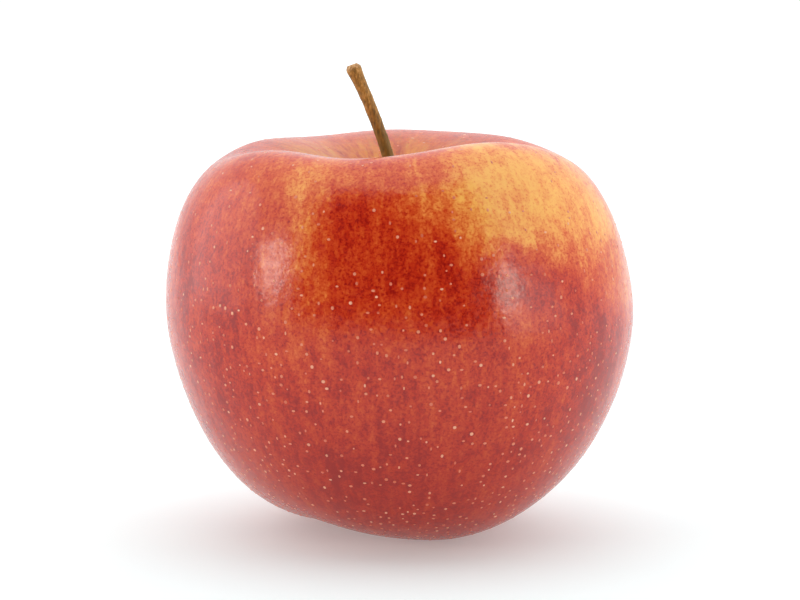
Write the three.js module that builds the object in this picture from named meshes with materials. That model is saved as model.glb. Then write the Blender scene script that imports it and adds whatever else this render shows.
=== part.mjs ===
// A ripe apple standing on the feet of its lobes, with its stalk in the stem cavity and the dried
// remains of its flower in the basin underneath. Millimetres, +Z up along the core axis.
// The fruit is one grown body. The stalk, the five sepals and the tuft of stamens are separate pieces.
import * as THREE from 'three';

// Fruit: a meridian of four curves, from the cavity floor over the crest, the widest belt and the
// foot to the basin floor, swept round the axis.
const BELT_RADIUS = 37.5;
const BELT_HEIGHT = 37.2;
const CREST_RADIUS = 24.6;
const CREST_HEIGHT = 64.4;
const CAVITY_DEPTH = 11;
const FOOT_RADIUS = 9.2;
const BASIN_DEPTH = 8.5;

// How far each curve keeps running along its end tangent before it turns.
const CAVITY_FLOOR_REACH = 3;
const CREST_INNER_REACH = 11.3;
const CREST_OUTER_REACH = 8.5;
const BELT_UPPER_REACH = 10.6;
const BELT_LOWER_REACH = 9.5;
const FOOT_OUTER_REACH = 21.8;
const FOOT_INNER_REACH = 3;
const BASIN_FLOOR_REACH = 5.5;

// Five lobes, one over each seed chamber. Azimuth in degrees from +X, then how much the lobe lifts
// the crest, lowers the foot and swells the belt.
const LOBES = [
  { azimuth: -139, rise: 2.3, drop: -1.55, swell: 0.25 },
  { azimuth: -52, rise: 1.2, drop: 0.8, swell: 2.7 },
  { azimuth: 0, rise: -2.95, drop: -1.4, swell: 3.55 },
  { azimuth: 92, rise: 1.5, drop: 0.8, swell: 2.1 },
  { azimuth: 145, rise: 2.2, drop: 0.8, swell: 0.1 },
];
const RISE_SHARPNESS = 8;
const DROP_SHARPNESS = 8;
const SWELL_SHARPNESS = 5;

// The whole top leans to one side, its crest is higher on +X, and the feet are pressed flat.
const CREST_LEAN = -2.3;
const CREST_TILT = 3;
const FOOT_FLAT_DEPTH = 0.3;

// Stalk: a slender woody rod that rises from the cavity floor, bends over and ends in a scar.
// Its route is given as steps along X and up from where it leaves the cavity floor.
const STALK_ROUTE = [[0, 0], [-0.35, 4.6], [-1.4, 9.2], [-3, 14], [-5, 19], [-7.1, 24]];
const STALK_RADIUS = 0.98;
const STALK_FOOT_RADIUS = 1.25;
const STALK_SCAR_RADIUS = 1.4;
// How fast the two flares fade along the stalk: a higher number keeps a flare nearer its end.
const STALK_FOOT_FADE = 8;
const STALK_SCAR_FADE = 10;

// Dried flower in the basin: five sepals round a tuft of stamens.
const SEPAL_COUNT = 5;
const SEPAL_LENGTH = 5.2;
const SEPAL_WIDTH = 2.5;
const SEPAL_THICKNESS = 0.55;
const SEPAL_RING_RADIUS = 2.35;
const SEPAL_SPREAD = 1.3;
// Below 1, these move the widest part of a sepal towards its foot and make its outline fuller.
const SEPAL_WIDEST_BIAS = 0.6;
const SEPAL_FULLNESS = 0.8;
const TUFT_RADIUS = 1.15;
const TUFT_TIP_RADIUS = 0.69;
const TUFT_LENGTH = 3.4;

// The floors of the cavity and the basin curve away from the axis, so each piece starts this far
// from the floor on the axis and its edge stays about 0.3 mm clear of the skin.
const STALK_START = 0.65;
const SEPAL_START = 0.95;
const TUFT_START = 0.5;

// How finely each surface is divided.
const FRUIT_SIDES = 72;
const CURVE_STEPS = 11;
const STALK_SIDES = 16;
const STALK_STEPS = 24;
const SEPAL_SIDES = 10;
const SEPAL_STEPS = 8;
const TUFT_SIDES = 20;

const FULL_TURN = 2 * Math.PI;

function curveBetween(start, leave, arrive, end) {
  const corners = [start, leave, arrive, end].map(([radius, height]) => new THREE.Vector2(radius, height));
  return new THREE.CubicBezierCurve(...corners);
}

const cavityFloorHeight = CREST_HEIGHT - CAVITY_DEPTH;
const meridian = [
  curveBetween([0, cavityFloorHeight], [CAVITY_FLOOR_REACH, cavityFloorHeight],
    [CREST_RADIUS - CREST_INNER_REACH, CREST_HEIGHT], [CREST_RADIUS, CREST_HEIGHT]),
  curveBetween([CREST_RADIUS, CREST_HEIGHT], [CREST_RADIUS + CREST_OUTER_REACH, CREST_HEIGHT],
    [BELT_RADIUS, BELT_HEIGHT + BELT_UPPER_REACH], [BELT_RADIUS, BELT_HEIGHT]),
  curveBetween([BELT_RADIUS, BELT_HEIGHT], [BELT_RADIUS, BELT_HEIGHT - BELT_LOWER_REACH],
    [FOOT_RADIUS + FOOT_OUTER_REACH, 0], [FOOT_RADIUS, 0]),
  curveBetween([FOOT_RADIUS, 0], [FOOT_RADIUS - FOOT_INNER_REACH, 0],
    [BASIN_FLOOR_REACH, BASIN_DEPTH], [0, BASIN_DEPTH]),
];

// Sum over the lobes of one of their effects, each fading smoothly on both sides of its azimuth.
function lobeSum(azimuth, effect, sharpness) {
  return LOBES.reduce((sum, lobe) => {
    const away = azimuth - THREE.MathUtils.degToRad(lobe.azimuth);
    return sum + lobe[effect] * Math.exp(sharpness * (Math.cos(away) - 1));
  }, 0);
}

// A point of the skin. The place along the meridian runs from 0, the cavity floor, over 1, the
// crest, 2, the belt, and 3, the foot, to 4, the basin floor.
function skinPoint(azimuth, place) {
  const curve = Math.min(Math.floor(place), 3);
  const plain = meridian[curve].getPoint(place - curve);
  const fade = Math.sin(Math.PI * place / 2) ** 2;
  const crestWeight = place < 2 ? fade : 0;
  const footWeight = place > 2 ? fade : 0;
  const swell = lobeSum(azimuth, 'swell', SWELL_SHARPNESS) / BELT_RADIUS * Math.sin(Math.PI * place / 4);
  const radius = plain.x * (1 + swell);
  const height = plain.y + crestWeight * lobeSum(azimuth, 'rise', RISE_SHARPNESS)
    - footWeight * lobeSum(azimuth, 'drop', DROP_SHARPNESS);
  const leanWeight = place < 1 ? Math.sin(Math.PI * place / 2) : 1;
  const x = radius * Math.cos(azimuth) + CREST_LEAN * leanWeight * height / CREST_HEIGHT;
  const y = radius * Math.sin(azimuth);
  return new THREE.Vector3(x, y, height + CREST_TILT * crestWeight * x / BELT_RADIUS);
}

// A closed body from rings of points, with a pole at each end. Rings run anticlockwise as seen
// from the end pole, and the rings go from the start pole to the end pole.
function closedLoft(startPole, rings, endPole) {
  const sides = rings[0].length;
  const points = [startPole, ...rings.flat(), endPole];
  const endIndex = points.length - 1;
  const corner = (ring, side) => 1 + ring * sides + side % sides;
  const triangles = [];
  for (let side = 0; side < sides; side += 1) {
    triangles.push(0, corner(0, side + 1), corner(0, side));
    triangles.push(endIndex, corner(rings.length - 1, side), corner(rings.length - 1, side + 1));
  }
  for (let ring = 0; ring + 1 < rings.length; ring += 1) {
    for (let side = 0; side < sides; side += 1) {
      const [a, b] = [corner(ring, side), corner(ring, side + 1)];
      const [c, d] = [corner(ring + 1, side), corner(ring + 1, side + 1)];
      triangles.push(a, b, d, a, d, c);
    }
  }
  const geometry = new THREE.BufferGeometry().setFromPoints(points);
  geometry.setIndex(triangles);
  geometry.computeVertexNormals();
  return geometry;
}

function ringOf(sides, pointAt) {
  return Array.from({ length: sides }, (_, side) => pointAt(side / sides * FULL_TURN));
}

// Places of the rings from the basin floor up to the cavity floor, closest together at the feet.
function ringPlaces() {
  const places = [];
  for (let curve = 0; curve < 4; curve += 1) {
    for (let step = 0; step < CURVE_STEPS; step += 1) {
      const even = step / CURVE_STEPS;
      places.push(curve + (curve === 2 ? Math.sin(even * Math.PI / 2) : even));
    }
  }
  return places.slice(1).reverse();
}

function makeFruit() {
  const rings = ringPlaces().map((place) => ringOf(FRUIT_SIDES, (azimuth) => skinPoint(azimuth, place)));
  const lowest = Math.min(...rings.flat().map((point) => point.z));
  const ground = lowest + FOOT_FLAT_DEPTH;
  rings.flat().forEach((point) => {
    point.z = Math.max(point.z, ground);
  });
  const geometry = closedLoft(skinPoint(0, 4), rings, skinPoint(0, 0));
  geometry.computeBoundingBox();
  const middle = geometry.boundingBox.getCenter(new THREE.Vector3());
  return { geometry, toOrigin: new THREE.Vector3(-middle.x, -middle.y, -ground) };
}

// The stalk thickens at its foot, stays slender and flares again below the scar.
function stalkRadius(along) {
  const foot = (STALK_FOOT_RADIUS - STALK_RADIUS) * (1 - along) ** STALK_FOOT_FADE;
  const scar = (STALK_SCAR_RADIUS - STALK_RADIUS) * along ** STALK_SCAR_FADE;
  return STALK_RADIUS + foot + scar;
}

function makeStalk() {
  const floor = cavityFloorHeight + STALK_START;
  const route = new THREE.CatmullRomCurve3(STALK_ROUTE.map(([x, z]) => new THREE.Vector3(x, 0, floor + z)));
  const sideways = new THREE.Vector3(0, 1, 0);
  const rings = [];
  for (let step = 0; step <= STALK_STEPS; step += 1) {
    const along = step / STALK_STEPS;
    const centre = route.getPointAt(along);
    const across = new THREE.Vector3().crossVectors(sideways, route.getTangentAt(along)).normalize();
    rings.push(ringOf(STALK_SIDES, (turn) => centre.clone()
      .addScaledVector(across, stalkRadius(along) * Math.cos(turn))
      .addScaledVector(sideways, stalkRadius(along) * Math.sin(turn))));
  }
  return closedLoft(route.getPointAt(0), rings, route.getPointAt(1));
}

// A sepal hangs from the basin floor, widest near its foot, and curls outwards to a point.
function makeSepal(turn) {
  const outward = new THREE.Vector3(Math.cos(turn), Math.sin(turn), 0);
  const sideways = new THREE.Vector3(-Math.sin(turn), Math.cos(turn), 0);
  const down = new THREE.Vector3(0, 0, -1);
  const centreAt = (along) => new THREE.Vector3(0, 0, BASIN_DEPTH - SEPAL_START)
    .addScaledVector(outward, SEPAL_RING_RADIUS + SEPAL_SPREAD * along ** 2)
    .addScaledVector(down, SEPAL_LENGTH * along);
  const rings = [];
  for (let step = 1; step < SEPAL_STEPS; step += 1) {
    const along = step / SEPAL_STEPS;
    const shape = Math.sin(Math.PI * along ** SEPAL_WIDEST_BIAS) ** SEPAL_FULLNESS;
    rings.push(ringOf(SEPAL_SIDES, (angle) => centreAt(along)
      .addScaledVector(outward, SEPAL_THICKNESS / 2 * shape * Math.cos(angle))
      .addScaledVector(sideways, SEPAL_WIDTH / 2 * shape * Math.sin(angle))));
  }
  return closedLoft(centreAt(1), rings.reverse(), centreAt(0));
}

// The stamens and styles dry into one short tuft that narrows towards its tips.
function makeTuft() {
  const top = BASIN_DEPTH - TUFT_START;
  const outline = [
    new THREE.Vector2(0, top - TUFT_LENGTH),
    new THREE.Vector2(TUFT_TIP_RADIUS, top - TUFT_LENGTH),
    new THREE.Vector2(TUFT_RADIUS, top - TUFT_LENGTH / 2),
    new THREE.Vector2(TUFT_RADIUS, top),
    new THREE.Vector2(0, top),
  ];
  return new THREE.LatheGeometry(outline, TUFT_SIDES).rotateX(Math.PI / 2);
}

function makePiece(name, geometry, colour, roughness) {
  const material = new THREE.MeshStandardMaterial({ color: colour, roughness, metalness: 0 });
  const piece = new THREE.Mesh(geometry, material);
  piece.name = name;
  return piece;
}

const fruit = makeFruit();
const apple = new THREE.Group();
apple.add(makePiece('fruit', fruit.geometry, '#b23a22', 0.35));
apple.add(makePiece('stalk', makeStalk(), '#7a5426', 0.75));
apple.add(makePiece('stamen_tuft', makeTuft(), '#4a3522', 0.9));
for (let index = 0; index < SEPAL_COUNT; index += 1) {
  const sepal = makeSepal(index / SEPAL_COUNT * FULL_TURN);
  apple.add(makePiece(`sepal_${index + 1}`, sepal, '#6b5233', 0.85));
}

// The origin is under the middle of the fruit, on the surface that its feet stand on.
apple.position.copy(fruit.toOrigin);

export default apple;
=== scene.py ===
# %% [markdown]
# # An apple, grown around its measured frame
#
# The frame holds the apple's measured solids: the fruit, its stalk, and the five sepals and the tuft of
# stamens that are left of the flower underneath. This script grows the skin, the stalk and the dried
# flower again as fine meshes in the same place, gives each its finish, and sets up a small studio.
# Everything is in metres, with +Z up. The apple stands on z = 0.

# %% Load the frame
import math
from functools import partial

import bpy
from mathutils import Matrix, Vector
from mathutils.bvhtree import BVHTree


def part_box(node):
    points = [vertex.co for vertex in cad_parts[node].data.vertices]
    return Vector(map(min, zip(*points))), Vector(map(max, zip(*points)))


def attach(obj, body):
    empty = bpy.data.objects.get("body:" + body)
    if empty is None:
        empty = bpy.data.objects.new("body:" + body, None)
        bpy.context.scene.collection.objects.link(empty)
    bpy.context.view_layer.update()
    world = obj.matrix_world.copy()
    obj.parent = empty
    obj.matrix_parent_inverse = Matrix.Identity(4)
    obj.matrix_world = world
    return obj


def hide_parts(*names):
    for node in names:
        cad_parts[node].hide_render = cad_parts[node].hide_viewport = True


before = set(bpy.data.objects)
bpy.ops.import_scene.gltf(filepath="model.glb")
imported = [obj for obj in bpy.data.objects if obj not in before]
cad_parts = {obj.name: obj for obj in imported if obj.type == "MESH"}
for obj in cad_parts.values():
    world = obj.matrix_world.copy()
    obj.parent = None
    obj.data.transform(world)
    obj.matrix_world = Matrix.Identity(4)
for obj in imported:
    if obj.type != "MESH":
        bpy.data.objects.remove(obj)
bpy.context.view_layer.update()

print("frame nodes:", sorted(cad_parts))

# %% [markdown]
# ## Working units and colours
#
# Sizes are easiest to think about in millimetres, so lengths are written as a number times MM. Colours are
# picked as sRGB hex values, the way a colour chart gives them, but a renderer adds up light, so one
# function turns each value into linear light.

# %% Units and colours
MM = 0.001
FULL_TURN = 2 * math.pi


def linear(hex_colour):
    """An sRGB hex colour as linear red, green, blue and alpha."""
    channels = [int(hex_colour[start:start + 2], 16) / 255 for start in (1, 3, 5)]
    light = [c / 12.92 if c <= 0.04045 else ((c + 0.055) / 1.055) ** 2.4 for c in channels]
    return (*light, 1.0)


print("mid grey in linear light:", [round(c, 3) for c in linear("#808080")])

# %% [markdown]
# ## One helper for every node
#
# Shapes and materials are both node trees here, and a single function adds any node. A maths node's
# operation is written after its kind. Other settings are keyword arguments. Inputs come in the order of the
# node's own sockets, or by name in a dictionary, or some of each. An input is a plain value, a socket, or
# another node, which means that node's first output in use. A map range takes its value, the two ends that
# it comes from and the two that it goes to. "add" is this function with the tree already filled in.

# %% The node helper


def add_node(tree, kind, *inputs, **settings):
    """Adds a node to the tree, applies its settings, and fills or links its inputs."""
    kind, *operation = kind.split()
    node = tree.nodes.new(kind)
    if operation:
        node.operation = operation[0]
    for setting, value in settings.items():
        setattr(node, setting, value)
    to_fill = list(enumerate(inputs))
    if inputs and isinstance(inputs[-1], dict):
        to_fill[-1:] = inputs[-1].items()
    for key, value in to_fill:
        if isinstance(key, str):
            socket = next(socket for socket in node.inputs if socket.name == key and socket.enabled)
        else:
            socket = node.inputs[key]
        if isinstance(value, bpy.types.Node):
            value = next(output for output in value.outputs if output.enabled)
        if isinstance(value, bpy.types.NodeSocket):
            tree.links.new(value, socket)
        else:
            socket.default_value = value
    return node


def shape_tree(name, sizes, outputs=(("Geometry", "NodeSocketGeometry"),)):
    """A new geometry tree with a named input for each size, its "add", and the sockets of those inputs."""
    tree = bpy.data.node_groups.new(name, "GeometryNodeTree")
    for output, kind in outputs:
        tree.interface.new_socket(output, in_out="OUTPUT", socket_type=kind)
    kinds = {float: "Float", int: "Int", tuple: "Vector", str: "Geometry"}
    for size, value in sizes.items():
        tree.interface.new_socket(size, in_out="INPUT", socket_type="NodeSocket" + kinds[type(value)])
    return tree, partial(add_node, tree), add_node(tree, "NodeGroupInput").outputs


# %% [markdown]
# ## From a tree to a plain mesh
#
# Every shape tree ends alike: the shape is smoothed, its copies are made real, and it takes a material. The
# tree only makes a shape while its modifier is live. Here the modifier sits on a throwaway seed object, the
# evaluated result is copied into a plain mesh, and the seed goes away. The finished piece then has no
# modifier left, which keeps it safe to export.

# %% Ending a tree and growing a piece from it


def put_in_scene(name, data):
    """A new object that holds the data, linked into the scene."""
    made = bpy.data.objects.new(name, data)
    bpy.context.scene.collection.objects.link(made)
    return made


def end_shape(tree, shape, material_name):
    """Smooths the shape, makes its copies real, gives it a new material and sends it out of the tree."""
    material = bpy.data.materials.new(material_name)
    shape = add_node(tree, "GeometryNodeSetShadeSmooth", {"Geometry": shape})
    shape = add_node(tree, "GeometryNodeRealizeInstances", {"Geometry": shape})
    shape = add_node(tree, "GeometryNodeSetMaterial", {"Geometry": shape, "Material": material})
    add_node(tree, "NodeGroupOutput", {"Geometry": shape})
    return material


def grow(name, tree, sizes, start=None):
    """Evaluates a geometry tree on a seed object and returns the result as a plain mesh object."""
    seed = put_in_scene(name + "_seed", start or bpy.data.meshes.new(name + "_seed"))
    modifier = seed.modifiers.new("grow", "NODES")
    modifier.node_group = tree
    for item in tree.interface.items_tree:
        if item.in_out == "INPUT" and item.name in sizes and item.socket_type != "NodeSocketGeometry":
            modifier[item.identifier] = sizes[item.name]
    depsgraph = bpy.context.evaluated_depsgraph_get()
    evaluated = seed.evaluated_get(depsgraph)
    mesh = bpy.data.meshes.new_from_object(evaluated, preserve_all_data_layers=True, depsgraph=depsgraph)
    bpy.data.objects.remove(seed)
    mesh.name = name
    piece = put_in_scene(name, mesh)
    triangles = sum(len(face.vertices) - 2 for face in mesh.polygons)
    print(f"{name}: {len(mesh.vertices)} points, {triangles} triangles")
    return piece


# %% [markdown]
# ## The camera
#
# The camera looks from a little above the belt, with a longish lens from under half a metre away, so that
# the near lobes look slightly larger than the far ones but the outline stays calm.

# %% The camera
CAMERA_DISTANCE = 380 * MM
CAMERA_ELEVATION = math.radians(8.8)
CAMERA_LENS = 100.2
LOOK_AT = Vector((0.1 * MM, 0, 38.9 * MM))
BELT_CENTRE = Vector((-0.6 * MM, -0.5 * MM, 33.5 * MM))

camera_data = bpy.data.cameras.new("camera")
camera_data.lens = CAMERA_LENS
camera_data.clip_start = 10 * MM
camera = put_in_scene("camera", camera_data)
towards_camera = Vector((0, -math.cos(CAMERA_ELEVATION), math.sin(CAMERA_ELEVATION)))
camera.location = BELT_CENTRE + CAMERA_DISTANCE * towards_camera
camera.rotation_mode = "QUATERNION"
camera.rotation_quaternion = (LOOK_AT - camera.location).to_track_quat("-Z", "Y")
bpy.context.scene.camera = camera
print("camera at", [round(c, 4) for c in camera.location])

# %% [markdown]
# ## The shape rule of an apple
#
# Cut an apple through its core and the edge of the slice is a smooth line: from the floor of the stem
# cavity up over the crest, down the shoulder to the widest belt, under the belly to the foot, and up into
# the basin. Four Bezier curves draw it. Turning that line round the axis gives a perfectly round apple.
# Real ones have five lobes, one over each seed chamber, and each lobe lifts the crest, lowers the foot and
# swells the belt around its own direction. The whole top also leans and tilts a little.
#
# The numbers are the measured ones of the frame, so the grown skin falls on the solid. Because the shape
# follows a rule, it is made with Geometry Nodes.

# %% Measures of the fruit
BELT_RADIUS = 37.5 * MM
BELT_HEIGHT = 37.2 * MM
CREST_RADIUS = 24.6 * MM
CREST_HEIGHT = 64.4 * MM
CAVITY_DEPTH = 11 * MM
FOOT_RADIUS = 9.2 * MM
BASIN_DEPTH = 8.5 * MM
CREST_LEAN = -2.3 * MM
CREST_TILT = 3.0 * MM
FOOT_FLAT_DEPTH = 0.3 * MM
CAVITY_FLOOR = CREST_HEIGHT - CAVITY_DEPTH

# Each curve of the meridian: its start, the ends of its two handles and its end, as radius and height.
MERIDIAN = {
    "Cavity": ((0, CAVITY_FLOOR), (3 * MM, CAVITY_FLOOR),
               (CREST_RADIUS - 11.3 * MM, CREST_HEIGHT), (CREST_RADIUS, CREST_HEIGHT)),
    "Shoulder": ((CREST_RADIUS, CREST_HEIGHT), (CREST_RADIUS + 8.5 * MM, CREST_HEIGHT),
                 (BELT_RADIUS, BELT_HEIGHT + 10.6 * MM), (BELT_RADIUS, BELT_HEIGHT)),
    "Belly": ((BELT_RADIUS, BELT_HEIGHT), (BELT_RADIUS, BELT_HEIGHT - 9.5 * MM),
              (FOOT_RADIUS + 21.8 * MM, 0), (FOOT_RADIUS, 0)),
    "Basin": ((FOOT_RADIUS, 0), (FOOT_RADIUS - 3 * MM, 0), (5.5 * MM, BASIN_DEPTH), (0, BASIN_DEPTH)),
}

# Each lobe: its direction in degrees from +X, and its rise, drop and swell.
LOBES = [
    (-139, (2.3 * MM, -1.55 * MM, 0.25 * MM)),
    (-52, (1.2 * MM, 0.8 * MM, 2.7 * MM)),
    (0, (-2.95 * MM, -1.4 * MM, 3.55 * MM)),
    (92, (1.5 * MM, 0.8 * MM, 2.1 * MM)),
    (145, (2.2 * MM, 0.8 * MM, 0.1 * MM)),
]
LOBE_SHARPNESS = 8.0
SWELL_SHARPNESS = 5.0
print("lobes:", len(LOBES), "crest to foot:", CREST_HEIGHT / MM, "mm")

# %% [markdown]
# ## One lobe as a node group
#
# All five lobes work alike, so one small group holds the sum and is used five times. It compares a point's
# azimuth with the lobe's direction: exp(k (cos(away) - 1)) is 1 on the lobe, fades smoothly to both sides
# and has no seam on the far side. Rise, drop and swell travel together as one vector.

# %% The lobe group
lobe_tree, add, lobe_given = shape_tree(
    "lobe_of_an_apple",
    {"Azimuth": 0.0, "Direction": 0.0, "Effects": (0, 0, 0)},
    outputs=(("Effects", "NodeSocketVector"),),
)
away = add("ShaderNodeMath SUBTRACT", lobe_given["Azimuth"], lobe_given["Direction"])
nearness = add("ShaderNodeMath COSINE", away)
fades = []
for sharpness in (LOBE_SHARPNESS, SWELL_SHARPNESS):
    slope = add("ShaderNodeMath MULTIPLY_ADD", nearness, sharpness, -sharpness)
    fades.append(add("ShaderNodeMath EXPONENT", slope))
fade_vector = add("ShaderNodeCombineXYZ", fades[0], fades[0], fades[1])
effects = add("ShaderNodeVectorMath MULTIPLY", fade_vector, lobe_given["Effects"])
add("NodeGroupOutput", {"Effects": effects})
print("lobe group nodes:", len(lobe_tree.nodes))

# %% [markdown]
# ## The skin tree, first half: where every point belongs
#
# The tree starts from a sphere, which is already closed at both poles. The angle down from the top pole
# says which ring a point is on, and the ring picks a point of the meridian. The angle round the axis says
# how much of each lobe it gets.

# %% Rings, meridian and lobes
RINGS_PER_CURVE = 56
SIDES = 300

skin_sizes = {
    "Rings per curve": RINGS_PER_CURVE,
    "Sides": SIDES,
    "Belt radius": BELT_RADIUS,
    "Crest height": CREST_HEIGHT,
    "Crest lean": CREST_LEAN,
    "Crest tilt": CREST_TILT,
    "Foot flat depth": FOOT_FLAT_DEPTH,
    "Undulation": 0.22 * MM,
    "Cavity furrows": 0.30 * MM,
}
for curve_name, corners in MERIDIAN.items():
    for corner_name, (radius, height) in zip(("start", "leave", "arrive", "end"), corners):
        skin_sizes[f"{curve_name} {corner_name}"] = (radius, 0, height)
tree, add, given = shape_tree("apple_skin", skin_sizes)

ring_count = add("ShaderNodeMath MULTIPLY", given["Rings per curve"], len(MERIDIAN))
ball = add("GeometryNodeMeshUVSphere", {"Segments": given["Sides"], "Rings": ring_count, "Radius": 1.0})
ball_point = add("ShaderNodeSeparateXYZ", add("GeometryNodeInputPosition"))
azimuth = add("ShaderNodeMath ARCTAN2", ball_point.outputs["Y"], ball_point.outputs["X"])
polar = add("ShaderNodeMath ARCCOSINE", ball_point.outputs["Z"])
ring_share = add("ShaderNodeMath DIVIDE", polar, math.pi)
ring_exact = add("ShaderNodeMath MULTIPLY", ring_share, ring_count)
ring = add("ShaderNodeMath ROUND", ring_exact)
place = add("ShaderNodeMath DIVIDE", ring, given["Rings per curve"])

curves = add("GeometryNodeJoinGeometry")
for curve_name in reversed(MERIDIAN):
    corner = {name: given[f"{curve_name} {name}"] for name in ("start", "leave", "arrive", "end")}
    curve = add("GeometryNodeCurvePrimitiveBezierSegment",
                {"Resolution": given["Rings per curve"], "Start": corner["start"],
                 "Start Handle": corner["leave"], "End Handle": corner["arrive"], "End": corner["end"]},
                mode="POSITION")
    line = add("GeometryNodeCurveToMesh", {"Curve": curve})
    tree.links.new(line.outputs["Mesh"], curves.inputs["Geometry"])

# The last point of one curve and the first of the next are the same place, so each curve passed adds one.
curve_number = add("ShaderNodeMath FLOOR", place)
curve_number = add("ShaderNodeMath MINIMUM", curve_number, len(MERIDIAN) - 1)
meridian_index = add("ShaderNodeMath ADD", ring, curve_number)
plain = add("GeometryNodeSampleIndex",
            {"Geometry": curves, "Value": add("GeometryNodeInputPosition"), "Index": meridian_index},
            data_type="FLOAT_VECTOR", domain="POINT")
plain = add("ShaderNodeSeparateXYZ", plain)

lobe_total = None
for direction, lobe_effects in LOBES:
    lobe = add("GeometryNodeGroup",
               {"Azimuth": azimuth, "Direction": math.radians(direction), "Effects": lobe_effects},
               node_tree=lobe_tree)
    if lobe_total is None:
        lobe_total = lobe
    else:
        lobe_total = add("ShaderNodeVectorMath ADD", lobe_total, lobe)
lobe_total = add("ShaderNodeSeparateXYZ", lobe_total)
print("skin tree nodes so far:", len(tree.nodes))

# %% [markdown]
# ## The skin tree, second half: lobes, lean and feet
#
# Rise acts only on the upper half and drop only on the lower half. Both fade with a squared sine, so they
# are full on the crest and the foot and gone at the belt and the poles. The lean starts at the cavity
# floor, which stays on the axis because the stalk stands there.

# %% Lobes bend the meridian
fade_angle = add("ShaderNodeMath MULTIPLY", place, math.pi / 2)
fade_root = add("ShaderNodeMath SINE", fade_angle)
fade = add("ShaderNodeMath MULTIPLY", fade_root, fade_root)
is_upper = add("ShaderNodeMath LESS_THAN", place, 2.0)
crest_weight = add("ShaderNodeMath MULTIPLY", fade, is_upper)
foot_weight = add("ShaderNodeMath SUBTRACT", fade, crest_weight)

belt_angle = add("ShaderNodeMath MULTIPLY", place, math.pi / 4)
belt_weight = add("ShaderNodeMath SINE", belt_angle)
swell = add("ShaderNodeMath DIVIDE", lobe_total.outputs["Z"], given["Belt radius"])
swell = add("ShaderNodeMath MULTIPLY_ADD", swell, belt_weight, 1.0)
radius = add("ShaderNodeMath MULTIPLY", plain.outputs["X"], swell)

drop = add("ShaderNodeMath MULTIPLY", foot_weight, lobe_total.outputs["Y"])
height = add("ShaderNodeMath MULTIPLY_ADD", crest_weight, lobe_total.outputs["X"], plain.outputs["Z"])
height = add("ShaderNodeMath SUBTRACT", height, drop)

# %% Lean and tilt of the top
before_crest = add("ShaderNodeMath MINIMUM", place, 1.0)
lean_angle = add("ShaderNodeMath MULTIPLY", before_crest, math.pi / 2)
lean_weight = add("ShaderNodeMath SINE", lean_angle)
height_share = add("ShaderNodeMath DIVIDE", height, given["Crest height"])
lean = add("ShaderNodeMath MULTIPLY", lean_weight, height_share)
lean = add("ShaderNodeMath MULTIPLY", lean, given["Crest lean"])

cosine = add("ShaderNodeMath COSINE", azimuth)
sine = add("ShaderNodeMath SINE", azimuth)
x = add("ShaderNodeMath MULTIPLY_ADD", radius, cosine, lean)
y = add("ShaderNodeMath MULTIPLY", radius, sine)
x_share = add("ShaderNodeMath DIVIDE", x, given["Belt radius"])
tilt = add("ShaderNodeMath MULTIPLY", x_share, given["Crest tilt"])
z = add("ShaderNodeMath MULTIPLY_ADD", tilt, crest_weight, height)
skin_point = add("ShaderNodeCombineXYZ", x, y, z)

# Each point keeps its direction round the core and its place along the meridian, for the colours to read.
where = add("ShaderNodeCombineXYZ", cosine, sine, place)
marked = add("GeometryNodeStoreNamedAttribute", {"Geometry": ball, "Name": "meridian", "Value": where},
             data_type="FLOAT_VECTOR", domain="POINT")
shaped = add("GeometryNodeSetPosition", {"Geometry": marked, "Position": skin_point})
print("skin tree nodes so far:", len(tree.nodes))

# %% [markdown]
# ## Relief in the skin
#
# A grown surface is never quite even. Two kinds of relief are pushed in along the normal as real shape,
# because they change how reflections run over the skin: a broad undulation, some 14 mm from swell to
# swell, and furrows that run down into the stem cavity like pleats. The furrows read a noise on the
# direction round the axis, so they stay radial.

# %% Undulation and cavity furrows
UNDULATION_LENGTH = 14 * MM
FURROWS_AROUND = 26

undulation = add("ShaderNodeTexNoise",
                 {"Vector": add("GeometryNodeInputPosition"), "Scale": 1 / UNDULATION_LENGTH,
                  "Detail": 1.0, "Roughness": 0.4})
undulation = add("ShaderNodeMath SUBTRACT", undulation, 0.5)
undulation = add("ShaderNodeMath MULTIPLY", undulation, given["Undulation"])

around = add("ShaderNodeCombineXYZ", cosine, sine, belt_weight)
furrow = add("ShaderNodeTexNoise",
             {"Vector": around, "Scale": FURROWS_AROUND / FULL_TURN, "Detail": 1.0, "Roughness": 0.5})
furrow = add("ShaderNodeMath SUBTRACT", furrow, 0.5)
furrow_weight = add("ShaderNodeMapRange", place, 1.25, 0.75, 0.0, 1.0, interpolation_type="SMOOTHSTEP")
floor_weight = add("ShaderNodeMapRange", place, 0.05, 0.4, 0.0, 1.0, interpolation_type="SMOOTHSTEP")
furrow_weight = add("ShaderNodeMath MULTIPLY", furrow_weight, floor_weight)
furrow_weight = add("ShaderNodeMath MULTIPLY", furrow_weight, given["Cavity furrows"])
relief = add("ShaderNodeMath MULTIPLY_ADD", furrow, furrow_weight, undulation)
relief_step = add("ShaderNodeVectorMath SCALE", add("GeometryNodeInputNormal"), {"Scale": relief})
uneven = add("GeometryNodeSetPosition", {"Geometry": shaped, "Offset": relief_step})

# %% [markdown]
# ## Standing on its feet
#
# The weight of the fruit presses a small flat spot into each foot. The tree finds the lowest point, lifts
# everything below the flat up to it, and then moves the fruit so that the flat spots lie on z = 0 and the
# outline is centred on the axis of the frame.

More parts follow.
